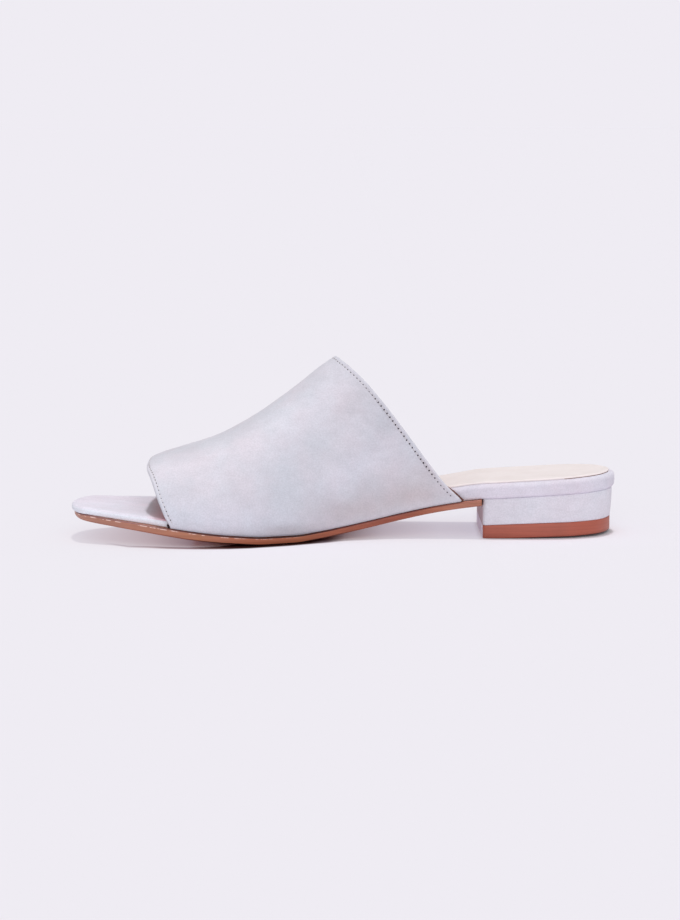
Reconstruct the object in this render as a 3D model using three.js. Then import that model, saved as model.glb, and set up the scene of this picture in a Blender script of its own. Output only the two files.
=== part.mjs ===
// Slide sandal for the right foot: one wide suede band over a wrapped footbed, thin leather sole, low heel.
// Millimetres. The toe points to -X, the inner (big toe) side is -Y, up is +Z, the floor is Z = 0.
import * as THREE from 'three';
import { mergeVertices } from 'three/addons/utils/BufferGeometryUtils.js';

// Driving sizes
const LENGTH = 246.2; // back of the heel to the tip of the sole
const BALL = 85; // the sole across its widest place
const INSTEP = 80.6; // floor to the top of the band at its back edge
const HEEL = 21.2; // floor to the heel seat at the very back
const HEEL_LENGTH = 62; // back of the footbed to the breast of the heel
const SEAT_DROP = 3.35; // how much lower the seat is at the breast
const SOLE = 3.4; // leather sole under the ball
const BED = 7.0; // footbed at the heel, wrap included
const WALL = 1.7; // band, suede and lining together
const SOCK = 0.8; // cream leather sock on the footbed
const LIFT = 7.45; // top piece under the heel, at the back
const GAP = 0.3; // left between neighbouring pieces
const RIM = 2.6; // grey rim that shows beyond the sock
const SWELL = 2; // how far the band bellies out just above the sole
const SOCK_FRONT = 184; // from the back of the heel to the front of the sock

// How far the sole reaches from the middle of the heel, to the inner and to the outer side.
// Shares of the length and of the ball width. The forepart swings to the inner side.
const OUTLINE = [
  { at: 0.0, inner: 0.0, outer: 0.0 },
  { at: 0.0406, inner: 0.2518, outer: 0.2412 },
  { at: 0.1015, inner: 0.3259, outer: 0.3106 },
  { at: 0.1625, inner: 0.3376, outer: 0.32 },
  { at: 0.2234, inner: 0.3341, outer: 0.3224 },
  { at: 0.2539, inner: 0.3271, outer: 0.3235 },
  { at: 0.3006, inner: 0.3047, outer: 0.3282 },
  { at: 0.3493, inner: 0.2918, outer: 0.3353 },
  { at: 0.4021, inner: 0.2976, outer: 0.3459 },
  { at: 0.4549, inner: 0.3294, outer: 0.3553 },
  { at: 0.5037, inner: 0.3741, outer: 0.3647 },
  { at: 0.5565, inner: 0.4376, outer: 0.3741 },
  { at: 0.6133, inner: 0.5153, outer: 0.3835 },
  { at: 0.6499, inner: 0.5588, outer: 0.3871 },
  { at: 0.6905, inner: 0.5976, outer: 0.3847 },
  { at: 0.7392, inner: 0.6259, outer: 0.3718 },
  { at: 0.7799, inner: 0.6329, outer: 0.3529 },
  { at: 0.8245, inner: 0.6224, outer: 0.308 },
  { at: 0.8652, inner: 0.5988, outer: 0.262 },
  { at: 0.8976, inner: 0.5682, outer: 0.208 },
  { at: 0.9301, inner: 0.5282, outer: 0.138 },
  { at: 0.9586, inner: 0.49, outer: 0.082 },
  { at: 0.9789, inner: 0.452, outer: 0.025 },
  { at: 1.0, inner: 0.21, outer: -0.21 },
];

// Underside of the sole above the floor (share of the heel height) and its thickness (share of SOLE)
const PROFILE = [
  { at: 0.2518, under: 0.7099, thick: 0.824 },
  { at: 0.304, under: 0.6162, thick: 0.809 },
  { at: 0.3567, under: 0.5016, thick: 0.809 },
  { at: 0.4056, under: 0.3778, thick: 0.824 },
  { at: 0.4546, under: 0.2552, thick: 0.838 },
  { at: 0.5036, under: 0.1462, thick: 0.868 },
  { at: 0.5525, under: 0.0495, thick: 0.95 },
  { at: 0.5929, under: 0.0, thick: 0.99 },
  { at: 0.6438, under: 0.0, thick: 1.0 },
  { at: 0.6975, under: 0.0472, thick: 1.0 },
  { at: 0.7374, under: 0.0906, thick: 1.03 },
  { at: 0.7773, under: 0.1498, thick: 1.05 },
  { at: 0.8251, under: 0.234, thick: 1.03 },
  { at: 0.8725, under: 0.318, thick: 0.985 },
  { at: 0.9197, under: 0.3875, thick: 0.93 },
  { at: 0.9662, under: 0.454, thick: 0.885 },
  { at: 1.0, under: 0.52, thick: 0.62 },
];

// Footbed: thickness as a share of BED, and how far its side stands in from the sole's edge, in WALLs
const FOOTBED = [
  { at: 0.0, thick: 1.0, inset: 0.18 },
  { at: 0.2274, thick: 0.965, inset: 0.21 },
  { at: 0.2597, thick: 0.958, inset: 0.71 },
  { at: 0.2879, thick: 0.945, inset: 1.36 },
  { at: 0.4873, thick: 0.87, inset: 1.36 },
  { at: 0.6894, thick: 0.74, inset: 1.36 },
  { at: 0.8489, thick: 0.51, inset: 1.36 },
  { at: 0.8962, thick: 0.46, inset: 0.95 },
  { at: 0.9662, thick: 0.45, inset: 0.3 },
  { at: 1.0, thick: 0.42, inset: -0.75 },
];

// Band sections: ridge above the floor (share of INSTEP), ridge towards the inner side (share of BALL),
// how square the arch is (2 is an ellipse) and how much it bellies out (share of SWELL)
const BAND = [
  { at: 0.2441, ridge: 1.4649, lean: -0.0353, square: 2.0, swell: 0.3 },
  { at: 0.3658, ridge: 1.2918, lean: -0.0353, square: 2.0, swell: 0.4 },
  { at: 0.447, ridge: 1.1443, lean: -0.026, square: 2.0, swell: 0.6 },
  { at: 0.5195, ridge: 0.9999, lean: -0.0177, square: 2.0, swell: 0.8 },
  { at: 0.5495, ridge: 0.9379, lean: -0.004, square: 2.02, swell: 0.9 },
  { at: 0.5862, ridge: 0.8489, lean: 0.0129, square: 2.08, swell: 1.0 },
  { at: 0.6233, ridge: 0.765, lean: 0.0309, square: 2.14, swell: 1.0 },
  { at: 0.6611, ridge: 0.6851, lean: 0.0508, square: 2.2, swell: 1.0 },
  { at: 0.6974, ridge: 0.6199, lean: 0.0699, square: 2.26, swell: 0.95 },
  { at: 0.7335, ridge: 0.5642, lean: 0.0874, square: 2.32, swell: 0.9 },
  { at: 0.7715, ridge: 0.5235, lean: 0.1058, square: 2.38, swell: 0.8 },
  { at: 0.8095, ridge: 0.4895, lean: 0.1205, square: 2.42, swell: 0.7 },
  { at: 0.8444, ridge: 0.4565, lean: 0.1334, square: 2.45, swell: 0.6 },
  { at: 0.8553, ridge: 0.4425, lean: 0.1372, square: 2.45, swell: 0.57 },
  { at: 0.8634, ridge: 0.426, lean: 0.1399, square: 2.45, swell: 0.54 },
  { at: 0.8733, ridge: 0.388, lean: 0.1433, square: 2.45, swell: 0.5 },
];

// The band's front and back edges round the arch: shares of the length from the back of the heel.
// The way round runs from 0 at the inner side of the sole to 1 at the outer side.
const EDGES = [
  { round: 0.0, front: 0.8172, back: 0.2879 },
  { round: 0.031, front: 0.8266, back: 0.3196 },
  { round: 0.067, front: 0.8331, back: 0.3477 },
  { round: 0.121, front: 0.8412, back: 0.3838 },
  { round: 0.185, front: 0.848, back: 0.4206 },
  { round: 0.261, front: 0.8558, back: 0.4578 },
  { round: 0.357, front: 0.8642, back: 0.4944 },
  { round: 0.43, front: 0.8664, back: 0.5122 },
  { round: 0.5, front: 0.8662, back: 0.5195 },
  { round: 0.57, front: 0.8655, back: 0.5179 },
  { round: 0.65, front: 0.864, back: 0.5077 },
  { round: 0.74, front: 0.861, back: 0.487 },
  { round: 0.82, front: 0.8592, back: 0.4582 },
  { round: 0.88, front: 0.8565, back: 0.4283 },
  { round: 0.935, front: 0.8529, back: 0.3914 },
  { round: 0.97, front: 0.8496, back: 0.3626 },
  { round: 1.0, front: 0.8458, back: 0.3389 },
];

// Heel block and top piece: how far in from the sole's outline at the top and at the foot, in mm
const HEEL_IN_TOP = 1.3;
const HEEL_IN_FOOT = 1.8;
const HEEL_LEAN = 0.4; // the back of the block leans in this much towards the floor
const LIFT_DROP = 1.65; // the top piece is this much thinner at the breast
const LIFT_ROLL = 1.0; // the underside of the top piece rises this much to the back
const LIFT_FLAT = 48; // from here to the breast the underside lies flat on the floor

// Smooth curve through a table's rows that never overshoots them
function curve(rows, key, x, by = 'at') {
  const n = rows.length;
  if (x <= rows[0][by]) return rows[0][key];
  if (x >= rows[n - 1][by]) return rows[n - 1][key];
  const step = (i) => rows[i + 1][by] - rows[i][by];
  const rise = (i) => (rows[i + 1][key] - rows[i][key]) / step(i);
  const slope = (i) => {
    if (i === 0) return rise(0);
    if (i === n - 1) return rise(n - 2);
    const a = rise(i - 1);
    const b = rise(i);
    if (a * b <= 0) return 0;
    const wa = 2 * step(i) + step(i - 1);
    const wb = step(i) + 2 * step(i - 1);
    return (wa + wb) / (wa / a + wb / b);
  };
  let i = 0;
  while (rows[i + 1][by] < x) i += 1;
  const h = step(i);
  const t = (x - rows[i][by]) / h;
  const from = rows[i][key] * (1 + 2 * t) * (1 - t) ** 2 + h * slope(i) * t * (1 - t) ** 2;
  return from + rows[i + 1][key] * t * t * (3 - 2 * t) + h * slope(i + 1) * t * t * (t - 1);
}

// Along the shoe by half turns, which rounds the outline at both ends
const along = (turn) => (1 - Math.cos(Math.PI * turn)) / 2;
const turnAt = (at) => Math.acos(1 - 2 * Math.min(Math.max(at, 0), 1)) / Math.PI;
const TURNS = OUTLINE.map((row) => ({ ...row, turn: turnAt(row.at) }));
const halfWidth = (at, side) => BALL * curve(TURNS, side < 0 ? 'inner' : 'outer', turnAt(at), 'turn');

// Sole outline on one side, moved out by a distance: [from the back of the heel, across]
function edge(at, side, out) {
  const turn = turnAt(at);
  const lo = Math.max(turn - 1e-4, 0);
  const hi = Math.min(turn + 1e-4, 1);
  const place = (t) => [LENGTH * along(t), side * halfWidth(along(t), side)];
  const [d, y] = place(turn);
  const [d0, y0] = place(lo);
  const [d1, y1] = place(hi);
  const size = Math.hypot(d1 - d0, y1 - y0);
  const nd = (-side * (y1 - y0)) / size;
  const ny = (side * (d1 - d0)) / size;
  return [d + out * nd, y + out * ny];
}

// Heights at a distance from the back of the heel
const BREAST = HEEL_LENGTH / LENGTH;
const underSole = (d) => HEEL * curve(PROFILE, 'under', d / LENGTH);
const topOfSole = (d) => {
  if (d <= HEEL_LENGTH) return HEEL - (SEAT_DROP * Math.max(d, 0)) / HEEL_LENGTH;
  return underSole(d) + SOLE * curve(PROFILE, 'thick', d / LENGTH);
};
const underBed = (d) => topOfSole(d) + GAP;
const topOfBed = (d) => underBed(d) + BED * curve(FOOTBED, 'thick', d / LENGTH) - GAP;
const bedInset = (d) => WALL * curve(FOOTBED, 'inset', d / LENGTH);
const topOfLift = (d) => LIFT - LIFT_DROP * (Math.max(d, 0) / HEEL_LENGTH) ** 2;
const underLift = (d) => LIFT_ROLL * (1 - Math.min(Math.max(d, 0), LIFT_FLAT) / LIFT_FLAT);

// A ring round the shoe: rows of [out from the outline, height], then the same back on the other side
function ring(at, rows, across, extra = 0) {
  const side = (sign) => rows.map(([out, height]) => {
    const [d, y] = edge(at, sign, out);
    return [d, y, height(d)];
  });
  const inner = side(-1);
  const outer = side(1).reverse();
  const a = inner[inner.length - 1];
  const b = outer[0];
  const middle = across.map(([share, dip]) => {
    const d = a[0] + (b[0] - a[0]) * share;
    const lift = rows[rows.length - 1][1](d) - dip * Math.min(1, Math.abs(b[1] - a[1]) / 30);
    return [d, a[1] + (b[1] - a[1]) * share, lift + extra];
  });
  return [...inner, ...middle, ...outer];
}

const point = ([d, y, z]) => new THREE.Vector3(-d, y, z);

// Closed body through rings that all have the same number of points
function loft(rings) {
  const count = rings[0].length;
  const position = [];
  const index = [];
  for (const one of rings) for (const p of one) position.push(...point(p).toArray());
  for (let s = 0; s < rings.length - 1; s += 1) {
    for (let k = 0; k < count; k += 1) {
      const a = s * count + k;
      const b = s * count + ((k + 1) % count);
      index.push(a, b, b + count, a, b + count, a + count);
    }
  }
  for (const [s, flip] of [[0, true], [rings.length - 1, false]]) {
    const middle = position.length / 3;
    const sum = rings[s].reduce((t, p) => [t[0] + p[0], t[1] + p[1], t[2] + p[2]], [0, 0, 0]);
    position.push(...point(sum.map((v) => v / count)).toArray());
    for (let k = 0; k < count; k += 1) {
      const a = s * count + k;
      const b = s * count + ((k + 1) % count);
      if (flip) index.push(b, a, middle);
      else index.push(a, b, middle);
    }
  }
  return solid(position, index);
}

// Merge the points and turn the faces outward
function solid(position, index) {
  let geometry = new THREE.BufferGeometry();
  geometry.setAttribute('position', new THREE.Float32BufferAttribute(position, 3));
  geometry.setIndex(index);
  geometry = mergeVertices(geometry, 1e-4);
  const p = geometry.attributes.position;
  const ix = geometry.index.array;
  let volume = 0;
  const [a, b, c] = [new THREE.Vector3(), new THREE.Vector3(), new THREE.Vector3()];
  for (let i = 0; i < ix.length; i += 3) {
    a.fromBufferAttribute(p, ix[i]);
    b.fromBufferAttribute(p, ix[i + 1]);
    c.fromBufferAttribute(p, ix[i + 2]);
    volume += a.dot(b.cross(c)) / 6;
  }
  if (volume < 0) {
    for (let i = 0; i < ix.length; i += 3) [ix[i + 1], ix[i + 2]] = [ix[i + 2], ix[i + 1]];
  }
  geometry.computeVertexNormals();
  return geometry;
}

// Places along the shoe, closer together at rounded ends
function places(from, to, count, roundFrom, roundTo) {
  const list = [];
  const a = roundFrom ? turnAt(from) : from;
  for (let i = 0; i <= count; i += 1) {
    const t = i / count;
    if (roundFrom && roundTo) list.push(along(turnAt(from) + (turnAt(to) - turnAt(from)) * t));
    else if (roundTo) list.push(from + (to - from) * Math.sin((Math.PI / 2) * t));
    else list.push(a === from ? from + (to - from) * t : from + (to - from) * (1 - Math.cos((Math.PI / 2) * t)));
  }
  return list;
}

const END = 0.00004;

// Leather sole: upright edge, small bevel under it, ends at the breast of the heel
function makeOutsole() {
  const rings = places(BREAST + 0.0012, 1 - END, 50, false, true).map((at) => ring(at, [
    [-0.7, underSole],
    [0, (d) => underSole(d) + 0.5],
    [0, (d) => topOfSole(d) - 0.35],
    [-0.35, topOfSole],
  ], [[0.25, 0], [0.5, 0], [0.75, 0]]));
  return loft(rings);
}

// Footbed: upright wrapped side, rounded rim, very slightly dished top
function makeFootbed() {
  const rings = places(END, 1 - END, 64, true, true).map((at) => {
    const inset = bedInset(at * LENGTH);
    const round = Math.min(2, (topOfBed(at * LENGTH) - underBed(at * LENGTH)) * 0.38);
    const tuck = BED * curve(FOOTBED, 'thick', at) * 0.17;
    const rows = [
      [-inset - tuck, underBed],
      [-inset - 0.3 * tuck, (d) => underBed(d) + 0.5 * tuck],
      [-inset, (d) => underBed(d) + 1.6 * tuck],
      [-inset, (d) => topOfBed(d) - round],
      [-inset - 0.19 * round, (d) => topOfBed(d) - 0.41 * round],
      [-inset - 0.59 * round, (d) => topOfBed(d) - 0.1 * round],
      [-inset - 1.15 * round, topOfBed],
    ];
    return ring(at, rows, [[0.3, 0.25], [0.5, 0.3], [0.7, 0.25]]);
  });
  return loft(rings);
}

// Cream sock: a thin sheet from the heel to a rounded front edge under the band
function makeInsole() {
  const rings = [];
  const front = SOCK_FRONT / LENGTH;
  const list = places(END, front, 44, true, false);
  for (const at of list) {
    const inset = bedInset(at * LENGTH) + RIM;
    const under = (d) => topOfBed(d) + GAP;
    const rows = [
      [-inset, under],
      [-inset, (d) => under(d) + SOCK - 0.25],
      [-inset - 0.3, (d) => under(d) + SOCK],
    ];
    rings.push(ring(at, rows, [[0.3, 0.25], [0.5, 0.3], [0.7, 0.25]]));
  }
  for (const one of rings) {
    const last = one.length - 1;
    one.push([one[last][0], one[last][1] * 0.5, one[last][2]], [one[0][0], one[0][1] * 0.5, one[0][2]]);
  }
  return loft(rings);
}

// Heel block under the seat; the back leans in a little towards the floor
function makeHeel() {
  const lean = (d, share) => HEEL_LEAN * share * Math.max(0, 1 - d / 30);
  const rings = places(END, BREAST, 34, true, false).map((at) => {
    const raw = (out, share, up) => [-1, 1].map((side) => {
      const [d, y] = edge(at, side, out);
      const drop = topOfLift(d) + GAP + (topOfSole(d) - GAP - topOfLift(d)) * share;
      return [d + lean(d, 1 - share), y, drop + up];
    });
    const foot = raw(-HEEL_IN_FOOT, 0, 0);
    const low = raw(-(HEEL_IN_FOOT * 0.7 + HEEL_IN_TOP * 0.3), 0.33, 0);
    const high = raw(-(HEEL_IN_FOOT * 0.3 + HEEL_IN_TOP * 0.7), 0.7, 0);
    const top = raw(-HEEL_IN_TOP, 1, 0);
    return [foot[0], low[0], high[0], top[0], top[1], high[1], low[1], foot[1]];
  });
  return loft(rings);
}

// Top piece that stands on the floor
function makeLift() {
  const shift = (d) => HEEL_LEAN * Math.max(0, 1 - d / 30);
  const rings = places(END, BREAST, 34, true, false).map((at) => {
    const raw = (out, height) => [-1, 1].map((side) => {
      const [d, y] = edge(at, side, out);
      return [d + shift(d), y, height(d)];
    });
    const under = raw(-HEEL_IN_FOOT - 0.6, underLift);
    const bevel = raw(-HEEL_IN_FOOT - 0.1, (d) => underLift(d) + 0.6);
    const top = raw(-HEEL_IN_FOOT - 0.1, topOfLift);
    return [under[0], bevel[0], top[0], top[1], bevel[1], under[1]];
  });
  return loft(rings);
}

// Outer face of the band: a place along the shoe and the way round from 0 to 1
function bandFace(at, round) {
  const d = at * LENGTH;
  const foot = topOfSole(d) + GAP;
  const rise = INSTEP * curve(BAND, 'ridge', at) - foot;
  const lean = -BALL * curve(BAND, 'lean', at);
  const power = 2 / curve(BAND, 'square', at);
  const side = round < 0.5 ? -1 : 1;
  const reach = halfWidth(at, side) - GAP - side * lean;
  const c = Math.abs(Math.cos(Math.PI * round));
  const s = Math.abs(Math.sin(Math.PI * round));
  const up = rise * s ** power;
  const belly = SWELL * curve(BAND, 'swell', at) * (up / 9) * Math.exp(1 - up / 9) * Math.min(1, 2 * c);
  return [d, lean + side * (reach * c ** power + belly), foot + up];
}

// Band: one hollow shell open at the front, at the back and underneath where the sole closes it
function makeUpper() {
  const columns = 48;
  const rows = 26;
  const place = (k, r) => {
    const round = k / columns;
    const front = curve(EDGES, 'front', round, 'round');
    const back = curve(EDGES, 'back', round, 'round');
    return [front + (back - front) * r / rows, round];
  };
  const outer = [];
  const inner = [];
  for (let k = 0; k <= columns; k += 1) {
    for (let r = 0; r <= rows; r += 1) {
      const [at, round] = place(k, r);
      const p = point(bandFace(at, round));
      outer.push(p);
      if (k === 0 || k === columns) {
        inner.push(new THREE.Vector3(p.x, p.y + (k === 0 ? WALL : -WALL), p.z));
        continue;
      }
      const e = 1e-3;
      const du = point(bandFace(at, round + e)).sub(point(bandFace(at, round - e)));
      const dv = point(bandFace(at + e, round)).sub(point(bandFace(at - e, round)));
      const normal = du.cross(dv).normalize();
      if (normal.dot(new THREE.Vector3(0, p.y - 4, p.z - 12)) < 0) normal.negate();
      inner.push(p.clone().addScaledVector(normal, -WALL));
    }
  }
  const position = [];
  for (const p of [...outer, ...inner]) position.push(p.x, p.y, p.z);
  const index = [];
  const o = (k, r) => k * (rows + 1) + r;
  const i = (k, r) => outer.length + o(k, r);
  const quad = (a, b, c, d) => index.push(a, b, c, a, c, d);
  for (let k = 0; k < columns; k += 1) {
    for (let r = 0; r < rows; r += 1) {
      quad(o(k, r), o(k + 1, r), o(k + 1, r + 1), o(k, r + 1));
      quad(i(k, r), i(k, r + 1), i(k + 1, r + 1), i(k + 1, r));
    }
    quad(o(k, 0), i(k, 0), i(k + 1, 0), o(k + 1, 0));
    quad(o(k, rows), o(k + 1, rows), i(k + 1, rows), i(k, rows));
  }
  for (let r = 0; r < rows; r += 1) {
    quad(o(0, r), o(0, r + 1), i(0, r + 1), i(0, r));
    quad(o(columns, r), i(columns, r), i(columns, r + 1), o(columns, r + 1));
  }
  return solid(position, index);
}

const suede = new THREE.MeshStandardMaterial({ color: 0xd4d1d6, roughness: 0.95, metalness: 0 });
const bedSuede = new THREE.MeshStandardMaterial({ color: 0xcfccd1, roughness: 0.95, metalness: 0 });
const cream = new THREE.MeshStandardMaterial({ color: 0xeee2dc, roughness: 0.55, metalness: 0 });
const tan = new THREE.MeshStandardMaterial({ color: 0xaf7d66, roughness: 0.5, metalness: 0 });
const brown = new THREE.MeshStandardMaterial({ color: 0xb06150, roughness: 0.5, metalness: 0 });

const group = new THREE.Group();
const pieces = [
  ['outsole', makeOutsole(), tan],
  ['footbed', makeFootbed(), bedSuede],
  ['insole', makeInsole(), cream],
  ['upper', makeUpper(), suede],
  ['heel', makeHeel(), suede],
  ['heel_lift', makeLift(), brown],
];
const box = new THREE.Box3();
for (const [, geometry] of pieces) box.union(new THREE.Box3().setFromBufferAttribute(geometry.attributes.position));
for (const [name, geometry, material] of pieces) {
  geometry.translate(-(box.min.x + box.max.x) / 2, -(box.min.y + box.max.y) / 2, -box.min.z);
  const mesh = new THREE.Mesh(geometry, material);
  mesh.name = name;
  group.add(mesh);
}

export default group;
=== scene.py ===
# Slide sandal for the right foot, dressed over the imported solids. Metres; toe to -X, camera side -Y.
import math

import bpy
import numpy as np
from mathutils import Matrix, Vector


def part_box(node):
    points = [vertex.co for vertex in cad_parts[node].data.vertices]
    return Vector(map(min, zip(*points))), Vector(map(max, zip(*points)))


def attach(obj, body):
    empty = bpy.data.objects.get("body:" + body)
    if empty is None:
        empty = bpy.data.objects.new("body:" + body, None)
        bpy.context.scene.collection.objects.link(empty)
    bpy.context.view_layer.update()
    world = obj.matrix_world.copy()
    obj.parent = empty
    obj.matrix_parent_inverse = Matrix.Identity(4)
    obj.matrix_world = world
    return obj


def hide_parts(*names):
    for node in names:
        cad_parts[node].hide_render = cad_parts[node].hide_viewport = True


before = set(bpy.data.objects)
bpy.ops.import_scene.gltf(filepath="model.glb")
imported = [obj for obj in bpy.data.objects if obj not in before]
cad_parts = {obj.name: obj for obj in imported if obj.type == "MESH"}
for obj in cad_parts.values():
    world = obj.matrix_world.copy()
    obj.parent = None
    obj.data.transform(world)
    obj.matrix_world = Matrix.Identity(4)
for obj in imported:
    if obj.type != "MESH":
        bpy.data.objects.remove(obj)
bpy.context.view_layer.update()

# Sizes in millimetres, worked in the shoe's own terms
LENGTH = 246.2  # back of the heel to the tip of the sole
BALL = 85.0  # the sole across its widest place
INSTEP = 80.6  # floor to the top of the band at its back edge
HEEL = 21.2  # floor to the heel seat at the very back
HEEL_LENGTH = 62.0  # back of the footbed to the breast of the heel
SEAT_DROP = 3.35  # how much lower the seat is at the breast
GAP = 0.3  # left between neighbouring solids
END = 0.00004  # share of the length left out at a rounded end, where the outline has no direction

# Sole and footbed
SOLE = 3.4  # leather sole under the ball
SOLE_BEVEL = 0.55  # rounding of its lower edge
SOLE_START = 0.0012  # share of the length between the breast of the heel and the sole
SOLE_INNER = 6.0  # outer strip of its underside
BED = 7.0  # footbed at the heel, wrap included
BED_UP = 0.08  # its foot stands this much above the sole
BED_TUCK = 0.17  # its foot is drawn in, as a share of its thickness
TUCK_RISE = 1.6  # how much higher than wide that rounding is
BED_WAIST = 0.42  # share of its thickness where its side stands out most
BED_BULGE = 0.05  # and by how much
BED_ROLL = 2.2  # rounding of its upper edge, at most half its thickness
DISH = 0.3  # how much the tops of footbed and sock are hollowed crosswise
DISH_WIDE = 30.0  # narrower than this, they are hollowed less
SIDE_ROWS = 9  # points of a footbed ring that lie on its side

# Sock
SOCK = 0.8  # cream leather
SOCK_GLUE = 0.2  # it lies this much above the footbed
SOCK_FRONT = 184.0  # from the back of the heel to the front of the sock
# Painted shadow: a dark line under the sock's edge near the back of the heel
SOCK_SHADOW_LINE_TO = 24.0  # from the back of the heel up to here a dark line shows under its edge
RIM = 2.6  # grey rim that shows beyond it

# Heel block and top piece
HEEL_IN_TOP = 1.3  # the block stands in from the outline at its top
HEEL_IN_FOOT = 1.8  # and at its foot
HEEL_LEAN = 0.4  # how far the back of the block leans in at its foot
LEAN_FADE = 30.0  # the lean is gone at this distance from the back
HEEL_CORNER = (2.0, 1.5)  # rounding at the breast: its length along the shoe and how far it goes in
COVER_UP = 0.04  # the cover sits this much higher than the block
LIFT = 7.45  # top piece under the heel, at the back
LIFT_DROP = 1.65  # how much lower its top is at the breast
LIFT_ROLL = 1.0  # how much its underside rises to the back
LIFT_FLAT = 48.0  # from here to the breast it lies flat
LIFT_IN = 0.1  # it stands in from the block
LIFT_CORNER = (0.8, 0.5)  # its rounding at the breast

# Band
WALL = 1.7  # suede and lining together
SKIN = 0.85  # half the wall, the radius of the cut edges
ROLL_POINTS = 6  # points round a cut edge
SWELL = 2.0  # how far the band bellies out just above the sole
SWELL_UP = 9.0  # height above the sole where it bellies out most
BAND_COLUMNS = 220  # round the arch
BAND_ROWS = 96  # from edge to edge, beside the close rows at both edges
CLOSE_ROWS = 0.24  # distance between those
CLOSE_REACH = 4.4  # and how far they reach from the edge
CALM = 4.0  # creases and seams fade out this near to the sole
TUCK = 0.18  # the band's foot is drawn in by this much
TUCK_UP = 0.6  # over this height
LINING_FOLLOWS = 0.35  # share of a crease that shows inside
CORE = (4.0, 12.0)  # across and up, a line that runs inside the band

# Stitch rows
STITCH_IN = 1.9  # from the cut edge
STITCH_ENDS = (0.012, 0.988)  # way round the arch where a row starts and stops
PITCH = 2.12  # from hole to hole
SEAM_DEPTH = 0.11  # how far a row sinks into the suede
LIP_RISE = 0.05  # how far the suede rises beside it
LIP_FRONT = 1.0  # from the front edge
LIP_BACK = 0.9  # from the back edge
SEAM_WIDE = 0.5  # half width of both
THREAD_RADIUS = 0.27
THREAD_FLAT = 0.8  # its height as a share of its width
THREAD_SUNK = 0.3  # depth of a stitch's ends under the suede
THREAD_RISE = 0.2  # how much its middle is higher
THREAD_END = 0.1  # share of the pitch left free at each end
THREAD_TAPER = 0.06  # how soon it tapers at its ends, as a share of its length
THREAD_STEPS = 7
THREAD_SIDES = 8
HOLE_LONG = 0.36
HOLE_WIDE = 0.38
HOLE_SUNK = 0.1  # rim of a needle hole
HOLE_MIDDLE = 0.06  # and its middle
HOLE_SIDES = 10

# Camera, where it aims, and its lens
CAMERA_HEEL = 126.1  # it stands square to this place, from the back of the heel
CAMERA_AWAY = 1300.0
CAMERA_UP = 190.0
AIM_UP = 32.5
LENS = 111.7

# Lights, as shares of a white floor's brightness
SKY = 0.5  # from all round
OVERHEAD = 0.42  # from straight above
FRONT = 0.29  # low, from the camera's side
FRONT_LOW = 0.44  # how much of it reaches a flat floor


def table(names, rows):
    """Rows of numbers under named columns."""
    return {name: np.array([row[i] for row in rows]) for i, name in enumerate(names.split())}


# How far the sole reaches from its middle line to each side: shares of the length and of the ball width
OUTLINE = table("at inner outer", [
    (0.0, 0.0, 0.0),
    (0.0406, 0.2518, 0.2412),
    (0.1015, 0.3259, 0.3106),
    (0.1625, 0.3376, 0.32),
    (0.2234, 0.3341, 0.3224),
    (0.2539, 0.3271, 0.3235),
    (0.3006, 0.3047, 0.3282),
    (0.3493, 0.2918, 0.3353),
    (0.4021, 0.2976, 0.3459),
    (0.4549, 0.3294, 0.3553),
    (0.5037, 0.3741, 0.3647),
    (0.5565, 0.4376, 0.3741),
    (0.6133, 0.5153, 0.3835),
    (0.6499, 0.5588, 0.3871),
    (0.6905, 0.5976, 0.3847),
    (0.7392, 0.6259, 0.3718),
    (0.7799, 0.6329, 0.3529),
    (0.8245, 0.6224, 0.308),
    (0.8652, 0.5988, 0.262),
    (0.8976, 0.5682, 0.208),
    (0.9301, 0.5282, 0.138),
    (0.9586, 0.49, 0.082),
    (0.9789, 0.452, 0.025),
    (1.0, 0.21, -0.21),
])

# Underside of the sole (share of the heel height) and its thickness (share of SOLE)
PROFILE = table("at under thick", [
    (0.2518, 0.7099, 0.824),
    (0.304, 0.6162, 0.809),
    (0.3567, 0.5016, 0.809),
    (0.4056, 0.3778, 0.824),
    (0.4546, 0.2552, 0.838),
    (0.5036, 0.1462, 0.868),
    (0.5525, 0.0495, 0.95),
    (0.5929, 0.0, 0.99),
    (0.6438, 0.0, 1.0),
    (0.6975, 0.0472, 1.0),
    (0.7374, 0.0906, 1.03),
    (0.7773, 0.1498, 1.05),
    (0.8251, 0.234, 1.03),
    (0.8725, 0.318, 0.985),
    (0.9197, 0.3875, 0.93),
    (0.9662, 0.454, 0.885),
    (1.0, 0.52, 0.62),
])

# Footbed thickness (share of BED) and how far its side stands in from the sole's edge (in WALLs)
FOOTBED = table("at thick inset", [
    (0.0, 1.0, 0.18),
    (0.2274, 0.965, 0.21),
    (0.2597, 0.958, 0.71),
    (0.2879, 0.945, 1.36),
    (0.4873, 0.87, 1.36),
    (0.6894, 0.74, 1.36),
    (0.8489, 0.51, 1.36),
    (0.8962, 0.46, 0.95),
    (0.9662, 0.45, 0.3),
    (1.0, 0.42, -0.75),
])

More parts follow.
